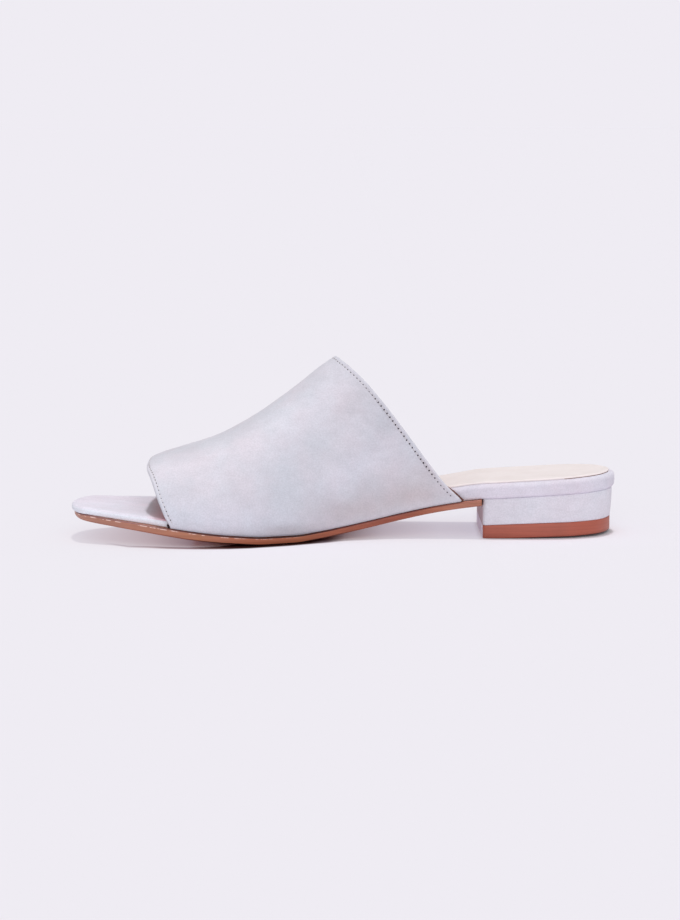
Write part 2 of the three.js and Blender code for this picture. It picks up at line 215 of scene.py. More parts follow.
# Band sections: ridge height (share of INSTEP), ridge towards the inner side (share of BALL),
# how square the arch is, and how much it bellies out (share of SWELL)
BAND = table("at ridge lean square swell", [
    (0.2441, 1.4649, -0.0353, 2.0, 0.3),
    (0.3658, 1.2918, -0.0353, 2.0, 0.4),
    (0.447, 1.1443, -0.026, 2.0, 0.6),
    (0.5195, 0.9999, -0.0177, 2.0, 0.8),
    (0.5495, 0.9379, -0.004, 2.02, 0.9),
    (0.5862, 0.8489, 0.0129, 2.08, 1.0),
    (0.6233, 0.765, 0.0309, 2.14, 1.0),
    (0.6611, 0.6851, 0.0508, 2.2, 1.0),
    (0.6974, 0.6199, 0.0699, 2.26, 0.95),
    (0.7335, 0.5642, 0.0874, 2.32, 0.9),
    (0.7715, 0.5235, 0.1058, 2.38, 0.8),
    (0.8095, 0.4895, 0.1205, 2.42, 0.7),
    (0.8444, 0.4565, 0.1334, 2.45, 0.6),
    (0.8553, 0.4425, 0.1372, 2.45, 0.57),
    (0.8634, 0.426, 0.1399, 2.45, 0.54),
    (0.8733, 0.388, 0.1433, 2.45, 0.5),
])

# The band's front and back edges, as shares of the length from the back of the heel, by the way round the
# arch from 0 at the inner side to 1 at the outer side
EDGES = table("round front back", [
    (0.0, 0.8172, 0.2879),
    (0.031, 0.8266, 0.3196),
    (0.067, 0.8331, 0.3477),
    (0.121, 0.8412, 0.3838),
    (0.185, 0.848, 0.4206),
    (0.261, 0.8558, 0.4578),
    (0.357, 0.8642, 0.4944),
    (0.43, 0.8664, 0.5122),
    (0.5, 0.8662, 0.5195),
    (0.57, 0.8655, 0.5179),
    (0.65, 0.864, 0.5077),
    (0.74, 0.861, 0.487),
    (0.82, 0.8592, 0.4582),
    (0.88, 0.8565, 0.4283),
    (0.935, 0.8529, 0.3914),
    (0.97, 0.8496, 0.3626),
    (1.0, 0.8458, 0.3389),
])

# Creases of the suede: millimetres from the back of the heel and up the side from the sole, reach along
# and across in millimetres, turn in degrees, depth in millimetres (minus is a ridge)
CREASES = table("heel up reach wide turn depth", [
    (104, 34, 7, 1.3, 4, 0.22),
    (102, 37.5, 5, 1.1, 10, 0.16),
    (133, 6.5, 9, 1.2, -12, 0.25),
    (126, 10, 8, 1.3, -20, 0.2),
    (96, 17, 15, 6, 35, 0.55),
    (116, 22, 20, 8, 48, 0.45),
    (112, 46, 16, 6.5, 60, 0.4),
    (124, 36, 22, 7, 55, -0.35),
    (146, 24, 20, 9, 20, -0.3),
    (168, 14, 16, 7, -8, 0.3),
    (186, 20, 12, 6, 12, -0.25),
    (150, 44, 18, 8, 40, 0.3),
    (176, 34, 14, 7, 24, 0.22),
])

# Light and dark patches of the suede, partly its own uneven colour and partly painted shade and painted
# light of its folds and hollows: the same places and reaches, how much lighter (plus) or darker (minus),
# and how much warmer (plus) or bluer (minus)
TONES_LIGHT_AND_SHADE = table("heel up reach wide turn light warm", [
    (107, 44, 22, 7, 55, -0.085, 0),
    (96, 14, 22, 9, 20, -0.08, 0.03),
    (120, 26, 26, 7, 50, 0.05, -0.01),
    (128, 8, 18, 6, -14, -0.05, 0),
    (165, 36, 34, 9, 20, 0.045, 0),
    (150, 20, 20, 12, 10, -0.03, -0.01),
    (195, 12, 14, 9, 40, 0.03, 0),
    (178, 10, 18, 5, -4, -0.035, 0),
    (136, 58, 26, 6, 38, 0.04, 0),
    (176, 8, 30, 8, 0, 0.15, -0.03),
    (182, 46, 44, 10, 25, 0.12, 0.01),
    (150, 38, 16, 9, 60, -0.07, -0.01),
    (116, 30, 22, 6, 10, 0.06, -0.01),
    (98, 22, 9, 5, 50, 0.06, 0),
    (121, 8, 24, 7, -14, -0.12, 0.04),
    (90, 7, 11, 6, -10, -0.12, 0.05),
    (146, 3, 18, 4, -4, -0.13, 0.02),
    (119, 64, 15, 8, 50, -0.06, 0.01),
    (151, 5, 10, 3.5, -4, -0.11, 0),
    (115, 16.5, 8, 5, 30, -0.06, 0),
])

# Up the edge of the sole to its top: how far it stands out, and how far below the top
SOLE_ROWS = [(0.03, 0.85), (-0.02, 0.45), (-0.2, 0.15), (-0.6, 0.0), (-4.0, 0.0)]
SOLE_MIDDLE = 0.06  # how far the edge stands out half way up

# Up the side of the sock onto its top: how far in, and how far above the footbed
SOCK_ROWS = [
    (0.5, -0.02),
    (0.05, 0.03),
    (0.0, 0.3),
    (0.05, 0.62),
    (0.22, 0.86),
    (0.6, 0.97),
    (1.4, SOCK_GLUE + SOCK),
]

# Up the side of the heel block: share of its height, and how far it stands out
HEEL_ROWS = [
    (0.0, -0.5),
    (0.02, -0.15),
    (0.06, 0.0),
    (0.3, 0.08),
    (0.6, 0.08),
    (0.9, 0.0),
    (0.97, -0.12),
    (1.0, -0.4),
]

# Up the side of the top piece: share of its height, millimetres more, and how far it stands out
LIFT_ROWS = [
    (0.0, 0.0, -0.7),
    (0.0, 0.15, -0.3),
    (0.0, 0.5, -0.08),
    (0.0, 1.0, 0.0),
    (0.5, 0.0, 0.0),
    (1.0, -0.5, 0.0),
    (1.0, -0.15, -0.1),
    (1.0, 0.0, -0.4),
]

# Round the dark pieces at the band's low corners, the lining's cut edge darkened with painted shade and a
# painted shadow in the front notch: how far in from the outer face, share of its reach, and millimetres
# more
CUT_ROWS = [
    (0.95, 0.0, -1.2),
    (0.95, 1.0, 0.0),
    (1.25, 1.0, 0.08),
    (1.55, 1.0, 0.0),
    (1.6, 0.0, -1.2),
]

# Reddish shade on the footbed under the band: it starts, is full, is full up to and stops at these
# distances from the heel, and takes these shares of red, green, blue and alpha
DEEP = (150.0, 180.0, 203.0, 212.0)
DEEP_TAKES = (0.0, 0.4, 0.38, 0.0)

# Painted light: from here to the toe the footbed's side is painted lighter than its top
SIDE_FROM = 150.0
SIDE_PAINTED_LIGHT = (1.06, 1.13, 1.1, 1.0)

# Painted light on the floor: the share of its brightness that it gives off itself and that shadows do not
# take, in red, green and blue, by distance from the back of the heel: least where the shoe meets the
# floor, most under the waist and the toe
FLOOR_PAINTED_GLOW = table("heel red green blue", [
    (246, 0.65, 0.64, 0.69),
    (211, 0.4, 0.36, 0.395),
    (193, 0.19, 0.15, 0.18),
    (190, 0.11, 0.05, 0.06),
    (186, 0.08, 0.045, 0.055),
    (181, 0.035, 0.01, 0.01),
    (175, 0.02, 0, 0),
    (130, 0.03, 0, 0),
    (106, 0.37, 0.365, 0.42),
    (80, 0.525, 0.525, 0.595),
    (64, 0.51, 0.51, 0.575),
    (60, 0.05, 0.04, 0.04),
])

# Painted shadow on the floor: a dark rim on the near side of the ball, where a real sole curls up from the
# floor a little: distance from the heel, where it starts and stops from the middle line to the inner side,
# and the shares of red, green and blue that it leaves
CONTACT_SHADOW = table("heel near far red green blue", [
    (232, 38, 40, 1, 1, 1),
    (220, 48.5, 52.3, 0.66, 0.6, 0.62),
    (211, 49.5, 54.5, 0.66, 0.58, 0.59),
    (202, 52, 57, 0.5, 0.39, 0.4),
    (193, 53.2, 58, 0.38, 0.26, 0.28),
    (186, 51.7, 58.3, 0.24, 0.14, 0.13),
    (180, 50, 58, 0.15, 0.07, 0.065),
    (175, 46, 57.7, 0.08, 0.03, 0.027),
    (166, 36, 55.7, 0.035, 0.012, 0.01),
    (157, 10, 52, 0.035, 0.012, 0.01),
    (148, 10, 48, 0.045, 0.015, 0.012),
    (139.5, 10, 42.9, 0.07, 0.03, 0.025),
    (132, 10, 39, 0.3, 0.24, 0.26),
    (124, 10, 34, 1, 1, 1),
])
CONTACT_SHADOW_SOFT = 3.0  # width over which its outline fades

# The floor's rings and the points of each, in metres
FLOOR_RINGS = [0.4, 1.0, 3.0, 9.0, 40.0]
FLOOR_POINTS = 96


def curve_of(rows, key, by="at"):
    """Smooth curve through a table's rows that never overshoots them."""
    x, y = rows[by], rows[key]
    step = np.diff(x)
    rise = np.diff(y) / step
    slope = np.zeros(len(x))
    slope[0], slope[-1] = rise[0], rise[-1]
    for i in range(1, len(x) - 1):
        a, b = rise[i - 1], rise[i]
        if a * b > 0:
            wa = 2 * step[i] + step[i - 1]
            wb = step[i] + 2 * step[i - 1]
            slope[i] = (wa + wb) / (wa / a + wb / b)

    def value(at):
        at = np.clip(at, x[0], x[-1])
        i = np.clip(np.searchsorted(x, at, side="right") - 1, 0, len(x) - 2)
        h = step[i]
        t = (at - x[i]) / h
        start = y[i] * (1 + 2 * t) * (1 - t) ** 2 + h * slope[i] * t * (1 - t) ** 2
        return start + y[i + 1] * t * t * (3 - 2 * t) + h * slope[i + 1] * t * t * (t - 1)

    return value


def along(turn):
    """Share of the length for a share of the half turn that rounds both ends."""
    return (1 - np.cos(np.pi * turn)) / 2


def turn_at(at):
    return np.arccos(1 - 2 * np.clip(at, 0, 1)) / np.pi


OUTLINE["turn"] = turn_at(OUTLINE["at"])
inner_half = curve_of(OUTLINE, "inner", "turn")
outer_half = curve_of(OUTLINE, "outer", "turn")
under_share = curve_of(PROFILE, "under")
thick_share = curve_of(PROFILE, "thick")
bed_share = curve_of(FOOTBED, "thick")
inset_share = curve_of(FOOTBED, "inset")
ridge_share = curve_of(BAND, "ridge")
lean_share = curve_of(BAND, "lean")
square_of = curve_of(BAND, "square")
swell_share = curve_of(BAND, "swell")
front_edge = curve_of(EDGES, "front", "round")
back_edge = curve_of(EDGES, "back", "round")


def half_width(at, side):
    half = inner_half if side < 0 else outer_half
    return BALL * half(turn_at(at))


def outline(at, side, out=0.0):
    """Sole outline on one side moved out by a distance: from the back of the heel, and across."""
    turn = turn_at(at)
    low = np.maximum(turn - 1e-4, 0)
    high = np.minimum(turn + 1e-4, 1)
    d = LENGTH * along(turn)
    y = side * half_width(along(turn), side)
    dd = LENGTH * (along(high) - along(low))
    dy = side * (half_width(along(high), side) - half_width(along(low), side))
    size = np.hypot(dd, dy)
    return d - out * side * dy / size, y + out * side * dd / size


def under_sole(d):
    return HEEL * under_share(d / LENGTH)


def top_of_sole(d):
    seat = HEEL - SEAT_DROP * np.maximum(d, 0) / HEEL_LENGTH
    return np.where(d <= HEEL_LENGTH, seat, under_sole(d) + SOLE * thick_share(d / LENGTH))


def top_of_bed(d):
    return top_of_sole(d) + BED * bed_share(d / LENGTH)


def bed_inset(d):
    return WALL * inset_share(d / LENGTH)


def top_of_lift(d):
    return LIFT - LIFT_DROP * (np.maximum(d, 0) / HEEL_LENGTH) ** 2


def under_lift(d):
    return LIFT_ROLL * (1 - np.clip(d, 0, LIFT_FLAT) / LIFT_FLAT)


# Where the shoe's own measures lie in the frame
stations = np.linspace(0, 1, 2001)
heel_back = outline(np.array([END]), -1, -bed_inset(0.0))[0][0]
SHIFT_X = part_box("footbed")[1][0] * 1000 + heel_back
SHIFT_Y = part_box("outsole")[0][1] * 1000 - np.min(outline(stations, -1)[1])


def to_frame(points):
    """From (distance from the heel, across, up) in millimetres to the frame in metres."""
    points = np.asarray(points, dtype=float)
    moved = np.empty_like(points)
    moved[..., 0] = (SHIFT_X - points[..., 0]) * 0.001
    moved[..., 1] = (points[..., 1] + SHIFT_Y) * 0.001
    moved[..., 2] = points[..., 2] * 0.001
    return moved


def add_object(name, data):
    made = bpy.data.objects.new(name, data)
    bpy.context.scene.collection.objects.link(made)
    return made


def add_mesh(name, points, faces, slots=None, materials=()):
    mesh = bpy.data.meshes.new(name)
    mesh.from_pydata([tuple(p) for p in points], [], faces)
    for material in materials:
        mesh.materials.append(material)
    if slots is not None:
        mesh.polygons.foreach_set("material_index", slots)
    mesh.polygons.foreach_set("use_smooth", [True] * len(mesh.polygons))
    mesh.validate()
    mesh.update()
    return add_object(name, mesh)


def strips(first, rings, count):
    """Quads between rings of points that follow one another."""
    quads = []
    for ring in range(rings - 1):
        for k in range(count):
            a = first + ring * count + k
            b = first + ring * count + (k + 1) % count
            quads.append((a, a + count, b + count, b))
    return quads


def outward(points, faces):
    """Turn the faces of a closed body outward."""
    volume = 0.0
    for face in faces:
        a = points[face[0]]
        for i in range(1, len(face) - 1):
            volume += np.dot(a, np.cross(points[face[i]], points[face[i + 1]]))
    return faces if volume > 0 else [tuple(reversed(face)) for face in faces]


def loft(name, rings, slot_of, materials, pole=0):
    """Closed body through rings of equal size; slot_of gives the material for each strip of the ring.

    Both end rings are closed by strips between the points that face each other, counted from the pole.
    """
    rings = to_frame(rings)
    count = rings.shape[1]
    points = rings.reshape(-1, 3)
    faces = []
    slots = []
    for s in range(rings.shape[0] - 1):
        for k in range(count):
            a = s * count + k
            b = s * count + (k + 1) % count
            faces.append((a, b, b + count, a + count))
            slots.append(slot_of(k, s))
    for s in (0, rings.shape[0] - 1):
        for k in range((count - 1) // 2):
            corners = [k, k + 1, count - 2 - k, count - 1 - k]
            if corners[1] == corners[2]:
                corners.pop(1)
            face = [s * count + (corner + pole) % count for corner in corners]
            faces.append(tuple(face if s else face[::-1]))
            slots.append(slot_of((k + pole) % count, s))
    return add_mesh(name, points, outward(points, faces), slots, materials)


def keep_flat(piece, slot):
    """Shade the faces of one slot flat, so that their rim stays sharp."""
    for face in piece.data.polygons:
        if face.material_index == slot:
            face.use_smooth = False


def set_tone_light_and_shade(piece, colours):
    """Keep one colour for each point of the piece, which its material multiplies in."""
    attribute = piece.data.attributes.new("tone_light_and_shade", "FLOAT_COLOR", "POINT")
    attribute.data.foreach_set("color", np.asarray(colours, dtype=np.float32).ravel())


def ring_sides(at, rows):
    """Both sides of a ring from rows of (out from the outline, height): near side up, far side down."""
    sides = []
    for side in (-1, 1):
        points = []
        for out, height in rows:
            d, y = outline(at, side, out)
            points.append((float(d), float(y), float(height(d))))
        sides.append(points)
    return sides[0], sides[1][::-1]


def across_top(a, b, count, height):
    """Points from a to b across a gently dished top."""
    points = []
    for i in range(1, count + 1):
        share = i / (count + 1)
        d = a[0] + (b[0] - a[0]) * share
        y = a[1] + (b[1] - a[1]) * share
        hollow = DISH * 4 * share * (1 - share) * min(1.0, abs(b[1] - a[1]) / DISH_WIDE)
        points.append((d, y, float(height(d)) - hollow))
    return points


def raised(base, up):
    """The height of a base curve and a fixed distance more."""
    return lambda d: base(d) + up


def quarter(steps):
    """Sines and cosines round a quarter turn."""
    turns = [math.pi / 2 * i / steps for i in range(steps + 1)]
    return [(math.sin(a), math.cos(a)) for a in turns]


# Materials
def srgb(r, g, b):
    def linear(v):
        v /= 255
        return v / 12.92 if v <= 0.04045 else ((v + 0.055) / 1.055) ** 2.4

    return linear(r), linear(g), linear(b), 1.0


class Look:
    """A principled material with short helpers for its nodes."""

    def __init__(self, name, roughness, **sockets):
        self.material = bpy.data.materials.new(name)
        self.material.use_nodes = True
        self.nodes = self.material.node_tree.nodes
        self.links = self.material.node_tree.links
        self.shader = self.nodes["Principled BSDF"]
        self.shader.inputs["Roughness"].default_value = roughness
        for socket, value in sockets.items():
            self.shader.inputs[socket.replace("_", " ")].default_value = value
        self.place = self.nodes.new("ShaderNodeTexCoord").outputs["Object"]

    def feed(self, socket, value):
        """Set a socket to a value or link it to another node's output."""
        if isinstance(value, bpy.types.NodeSocket):
            self.links.new(value, socket)
        else:
            socket.default_value = value

    def add(self, kind, inputs):
        node = self.nodes.new("ShaderNode" + kind)
        for socket, value in inputs.items():
            self.feed(node.inputs[socket], value)
        return node

    def noise(self, scale, detail=3.0, stretch=(1, 1, 1)):
        mapping = self.add("Mapping", {"Scale": stretch, "Vector": self.place})
        inputs = {"Scale": scale, "Detail": detail, "Roughness": 0.55, "Vector": mapping.outputs["Vector"]}
        return self.add("TexNoise", inputs).outputs["Fac"]

    def cells(self, scale):
        return self.add("TexVoronoi", {"Scale": scale, "Vector": self.place}).outputs["Distance"]

    def ramp(self, value, low, high, start=0.35, stop=0.65):
        node = self.add("ValToRGB", {"Fac": value})
        elements = node.color_ramp.elements
        elements[0].position, elements[0].color = start, low
        elements[1].position, elements[1].color = stop, high
        return node.outputs["Color"]

    def lengthwise(self, stops):
        """Colours at distances from the back of the heel, blended along the shoe."""
        along_x = self.add("SeparateXYZ", {0: self.place}).outputs["X"]
        toe = (SHIFT_X - LENGTH) * 0.001
        span = self.add("MapRange", {"From Min": toe, "From Max": SHIFT_X * 0.001, "Value": along_x})
        node = self.add("ValToRGB", {"Fac": span.outputs["Result"]})
        elements = node.color_ramp.elements
        stops = sorted((1 - d / LENGTH, colour) for d, colour in stops)
        elements[0].position, elements[0].color = stops[0]
        elements[1].position, elements[1].color = stops[-1]
        for position, colour in stops[1:-1]:
            elements.new(position).color = colour
        return node.outputs["Color"]

    def multiply_add(self, value, factor, more, clamp=False):
        node = self.add("Math", {0: value, 1: factor, 2: more})
        node.operation = "MULTIPLY_ADD"
        node.use_clamp = clamp
        return node.outputs[0]

    def across_line(self, heel, reach, soft, sign):
        """From 0 to 1 across a line on the inner side, reach millimetres from the middle of the heel.

        It rises to the outer side for sign 1 and to the inner side for sign -1.
        """
        line = self.lengthwise([(d, grey(value / 100)) for d, value in zip(heel, reach)])
        across = self.add("SeparateXYZ", {0: self.place}).outputs["Y"]
        across = self.multiply_add(across, sign * 1000 / soft, 0.5 - sign * SHIFT_Y / soft)
        return self.multiply_add(line, sign * 100 / soft, across, clamp=True)

    def times(self, a, b, amount=1.0):
        return self.mix("MULTIPLY", amount, a, b)

    def mix(self, kind, amount, a, b):
        node = self.add("Mix", {})
        node.data_type = "RGBA"
        node.blend_type = kind
        for socket, value in ((0, amount), (6, a), (7, b)):
            self.feed(node.inputs[socket], value)
        return node.outputs[2]

    def attribute(self, name):
        node = self.add("Attribute", {})
        node.attribute_name = name
        return node.outputs["Color"]

    def colour(self, value):
        self.feed(self.shader.inputs["Base Color"], value)

    def bump(self, *layers):
        """Layers of (height, strength, distance in millimetres)."""
        normal = None
        for height, strength, distance in layers:
            inputs = {"Height": height, "Strength": strength, "Distance": distance * 0.001}
            if normal:
                inputs["Normal"] = normal
            normal = self.add("Bump", inputs).outputs["Normal"]
        self.feed(self.shader.inputs["Normal"], normal)


def grey(value):
    return value, value, value, 1.0


def colours_of(rows):
    """Each row's distance from the heel with its colour."""
    colours = zip(rows["red"], rows["green"], rows["blue"])
    return [(d, colour + (1.0,)) for d, colour in zip(rows["heel"], colours)]


def suede(name, base, toned=False, run=None):
    look = Look(name, 0.95, Sheen_Weight=0.12, Sheen_Roughness=0.5, Specular_IOR_Level=0.15)
    cloud = look.ramp(look.noise(55, 3.0, (1, 1, 1.3)), grey(0.94), grey(1.0))
    pinkish = (1.0, 0.955, 0.98, 1.0)
    bluish = (0.965, 0.975, 1.0, 1.0)
    blush = look.ramp(look.noise(47, 3.0, (1.2, 1, 0.9)), pinkish, bluish)
    patch = look.ramp(look.noise(190, 4.0, (1, 1, 1.5)), grey(0.95), grey(1.0))
    nap = look.ramp(look.noise(1500, 2.0), grey(0.85), grey(1.0), 0.3, 0.7)
    colour = look.times(cloud, base)
    colour = look.times(colour, blush)
    colour = look.times(colour, patch)
    colour = look.times(colour, nap, 0.8)
    # Multiplies in the colour kept per point: painted shade and painted light, and on the band the suede's
    # own patches
    if toned:
        colour = look.times(colour, look.attribute("tone_light_and_shade"))
    if run:
        colour = look.times(colour, look.lengthwise(run))
    look.colour(colour)
    look.bump((look.noise(260, 4.0), 0.35, 0.25), (look.noise(2200, 3.0), 0.4, 0.12))
    return look.material


def smooth_leather(name, base, dark, roughness, grain):
    look = Look(name, roughness)
    look.colour(look.ramp(look.noise(70, 4.0), srgb(*dark), srgb(*base), 0.3, 0.6))
    look.bump((look.cells(grain), 0.25, 0.08), (look.noise(grain * 0.6, 3.0), 0.3, 0.08))
    return look.material


def edge_leather(name, run, dashed=False):
    """Cut and burnished leather edge: fine layers along the shoe, and a line of pale dashes if asked for.
    """
    look = Look(name, 0.5, Coat_Weight=0.08, Coat_Roughness=0.4)
    layers = look.noise(420, 4.0, (0.05, 0.05, 2.2))
    patches = look.noise(45, 3.0, (1, 1, 0.4))
    colour = look.times(look.lengthwise(run), look.ramp(layers, grey(0.84), grey(1.0), 0.4, 0.62))
    colour = look.times(colour, look.ramp(patches, grey(1.0), grey(0.82), 0.45, 0.8))
    if dashed:
        dashes = look.ramp(look.noise(520, 3.0, (0.7, 0.7, 0.7)), grey(0.0), grey(1.0), 0.47, 0.56)
        dashes = look.times(dashes, look.lengthwise(PALE_DASH_RUN))
        colour = look.mix("MIX", dashes, colour, srgb(240, 206, 196))
    look.colour(colour)
    look.bump((layers, 0.35, 0.12), (look.noise(900, 3.0), 0.25, 0.06))
    return look.material


# Colours along the cut edge of the sole, from the toe to the breast of the heel: darker and redder towards
# the waist, partly the leather's own colour and partly painted shade where the edge is less lit
SOLE_COLOUR_AND_SHADE_RUN = [
    (244, srgb(190, 134, 117)),
    (206, srgb(184, 121, 97)),
    (188, srgb(182, 116, 85)),
    (180, srgb(190, 115, 87)),
    (170, srgb(188, 108, 78)),
    (160, srgb(181, 99, 68)),
    (144, srgb(179, 101, 68)),
    (134, srgb(164, 87, 58)),
    (117, srgb(156, 80, 56)),
    (99, srgb(158, 74, 50)),
    (90, srgb(168, 88, 60)),
    (72, srgb(186, 119, 96)),
]

# The same along its lower bevel: the leather's colour towards both ends, and painted shade, nearly black,
# where it meets the floor under the ball
FOOT_SHADE_RUN = [
    (240, srgb(180, 118, 98)),
    (200, srgb(160, 92, 68)),
    (186, srgb(104, 46, 32)),
    (174, srgb(44, 10, 6)),
    (140, srgb(40, 10, 6)),
    (130, srgb(104, 50, 34)),
    (116, srgb(150, 76, 52)),
    (66, srgb(180, 112, 90)),
]

# And along the shadowed line between the sole and what stands on it
FEATHER_RUN = [
    (240, srgb(140, 92, 92)),
    (205, srgb(150, 98, 92)),
    (190, srgb(112, 62, 58)),
    (165, srgb(68, 20, 20)),
    (144, srgb(44, 10, 10)),
    (132, srgb(80, 26, 22)),
    (117, srgb(140, 72, 64)),
    (90, srgb(138, 66, 56)),
    (66, srgb(170, 104, 88)),
]

# How much the pale dashes show along a line near the top of the sole's edge, most towards the toe
PALE_DASH_RUN = [(243.0, grey(0.9)), (200.0, grey(0.8)), (165.0, grey(0.45)), (140.0, grey(0.0))]

# Colours along the top piece; along its foot, dark over the last 42 mm at the back: burnished, and painted
# shade where its underside rises off the floor; along the footbed, a little darker from 180 mm back; and
# along the heel block, darker towards the breast
LIFT_RUN = [(HEEL_LENGTH, srgb(176, 88, 68)), (0.0, srgb(180, 92, 72))]
LIFT_FOOT_SHADE_RUN = [(56, srgb(160, 78, 60)), (42, srgb(70, 24, 18)), (8, srgb(70, 24, 18))]
BED_RUN = [(205.0, grey(1.0)), (180.0, grey(0.92))]
HEEL_RUN = [(HEEL_LENGTH, grey(0.93)), (20.0, grey(1.0))]

BACKDROP = srgb(239, 236, 243)

BAND_SUEDE = suede("band_suede", srgb(222, 221, 229), toned=True)
BED_SUEDE = suede("bed_suede", srgb(243, 239, 250), toned=True, run=BED_RUN)
HEEL_SUEDE = suede("heel_suede", srgb(237, 236, 244), run=HEEL_RUN)
CREAM = smooth_leather("sock_leather", (241, 231, 231), (236, 225, 224), 0.6, 900)
# The sock's edge painted greyer with shade, and near the back a dark painted shadow line under it
SOCK_EDGE_SHADE = smooth_leather("sock_edge_shade", (228, 219, 222), (220, 210, 212), 0.7, 900)
SOCK_SHADOW_LINE = smooth_leather("sock_shadow_line", (140, 96, 84), (120, 80, 72), 0.7, 900)
LINING = smooth_leather("lining_leather", (190, 118, 100), (174, 102, 86), 0.65, 700)
CUT_EDGE = suede("cut_edge", srgb(232, 224, 226))
SOLE_EDGE = edge_leather("sole_edge", SOLE_COLOUR_AND_SHADE_RUN)
# A line of pale dashes near the top of the sole's edge
SOLE_DASHED = edge_leather("sole_dashed", SOLE_COLOUR_AND_SHADE_RUN, dashed=True)
# The sole's lower bevel, painted with shade under the ball
SOLE_FOOT_SHADE = edge_leather("sole_foot_shade", FOOT_SHADE_RUN)
FEATHER = edge_leather("feather_line", FEATHER_RUN)
SOLE_UNDER = smooth_leather("sole_under", (190, 150, 120), (172, 130, 102), 0.55, 500)
LIFT_EDGE = edge_leather("lift_edge", LIFT_RUN)
# The top piece's foot, burnished and painted with shade where it lifts off the floor
LIFT_FOOT_SHADE = edge_leather("lift_foot_shade", LIFT_FOOT_SHADE_RUN)
BREAST = smooth_leather("breast_leather", (209, 188, 199), (192, 170, 182), 0.7, 700)
# Painted light: the breast of the top piece is painted pale, standing in for the bright light on it
LOW_BREAST_LIGHT = smooth_leather("low_breast_light", (240, 233, 250), (230, 220, 240), 0.7, 700)
THREAD = smooth_leather("thread", (216, 212, 217), (196, 190, 196), 0.8, 2500)
# Needle holes painted dark with the shade inside them
HOLE = smooth_leather("needle_hole_shade", (72, 62, 70), (56, 46, 54), 0.9, 2500)
# The lining's cut edge darkened with painted shade, and a painted shadow for the front notch
GAP_EDGE_SHADE = smooth_leather("lining_cut_shade", (112, 66, 56), (78, 42, 38), 0.8, 900)
NOTCH_SHADOW = smooth_leather("notch_shadow", (50, 32, 36), (40, 24, 28), 0.9, 900)


def places(start, stop, count, round_start, round_stop):
    """Places along the shoe, closer together at rounded ends."""
    t = np.linspace(0, 1, count + 1)
    if round_start and round_stop:
        return along(turn_at(start) + (turn_at(stop) - turn_at(start)) * t)
    if round_stop:
        return start + (stop - start) * np.sin(np.pi / 2 * t)
    return start + (stop - start) * (1 - np.cos(np.pi / 2 * t))


def make_sole():
    rows = [(-SOLE_INNER, under_sole)]
    for s, c in quarter(4):
        rows.append((-SOLE_BEVEL * (1 - s), raised(under_sole, SOLE_BEVEL * (1 - c))))
    rows.append((SOLE_MIDDLE, lambda d: (under_sole(d) + top_of_sole(d)) / 2))
    for out, below in SOLE_ROWS:
        rows.append((out, raised(top_of_sole, -below)))
    rings = []
    for at in places(HEEL_LENGTH / LENGTH + SOLE_START, 1 - END, 220, False, True)[::-1]:
        near, far = ring_sides(at, rows)
        rings.append(near + far)
    count = len(rings[0])
    under, edge, dashed, feather, foot, breast = range(6)

    def slot(k, s):
        """By the strip's place up the edge: underside, bevel painted with shade, edge, line of pale
        dashes, edge, feather line, top.
        """
        if s == len(rings) - 1:
            return breast
        strip = min(k, count - 2 - k)
        if strip < 2:
            return under
        if strip < 5:
            return foot
        if strip == 7:
            return dashed
        return feather if strip in (8, 9) else edge

    materials = [SOLE_UNDER, SOLE_EDGE, SOLE_DASHED, FEATHER, SOLE_FOOT_SHADE, SOLE_EDGE]
    piece = loft("sole", rings, slot, materials)
    keep_flat(piece, breast)
    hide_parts("outsole")
    return piece


def bed_rows(at):
    """Up the side of the footbed: the tucked foot, the side and the rolled upper edge."""
    inset = float(bed_inset(at * LENGTH))
    thick = BED * float(bed_share(at))
    tuck = thick * BED_TUCK
    roll = min(BED_ROLL, thick / 2)
    rows = []
    for s, c in quarter(4):
        rows.append((-inset - tuck * (1 - s), raised(top_of_sole, BED_UP + TUCK_RISE * tuck * (1 - c))))
    rows.append((-inset + BED_BULGE, raised(top_of_sole, thick * BED_WAIST)))
    for s, c in quarter(7):
        rows.append((-inset - roll * (1 - c), raised(top_of_bed, -roll * (1 - s))))
    return rows


def make_footbed():
    rings = []
    for at in places(END, 1 - END, 260, True, True):
        near, far = ring_sides(at, bed_rows(at))
        rings.append(near + across_top(near[-1], far[0], 9, top_of_bed) + far)
    rings = np.array(rings)
    piece = loft("footbed_wrap", rings, lambda k, s: 0, [BED_SUEDE])
    start, full, last, stop = DEEP
    d = rings[..., 0]
    deep = np.clip((stop - d) / (stop - last), 0, 1) * np.clip((d - start) / (full - start), 0, 1)
    tone_light_and_shade = 1 - deep[..., None] * np.array(DEEP_TAKES)
    # Painted light on the footbed's side towards the toe
    for side in (slice(None, SIDE_ROWS), slice(-SIDE_ROWS, None)):
        tone_light_and_shade[:, side][d[:, side] >= SIDE_FROM] = SIDE_PAINTED_LIGHT
    set_tone_light_and_shade(piece, tone_light_and_shade)
    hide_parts("footbed")
    return piece


def make_sock():
    rings = []
    stops = places(END, SOCK_FRONT / LENGTH, 180, True, False)
    bare = int(np.searchsorted(stops * LENGTH, SOCK_SHADOW_LINE_TO))
    for at in stops:
        inset = float(bed_inset(at * LENGTH)) + RIM
        rows = [(-inset - inward, raised(top_of_bed, up)) for inward, up in SOCK_ROWS]
        near, far = ring_sides(at, rows)
        rings.append(near + across_top(near[-1], far[0], 11, raised(top_of_bed, SOCK_GLUE + SOCK)) + far)
    count = len(rings[0])

    def slot(k, s):
        if k not in (0, 1, count - 3, count - 2):
            return 0
        return 2 if s < bare else 1

    piece = loft("sock", rings, slot, [CREAM, SOCK_EDGE_SHADE, SOCK_SHADOW_LINE])
    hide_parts("insole")
    return piece


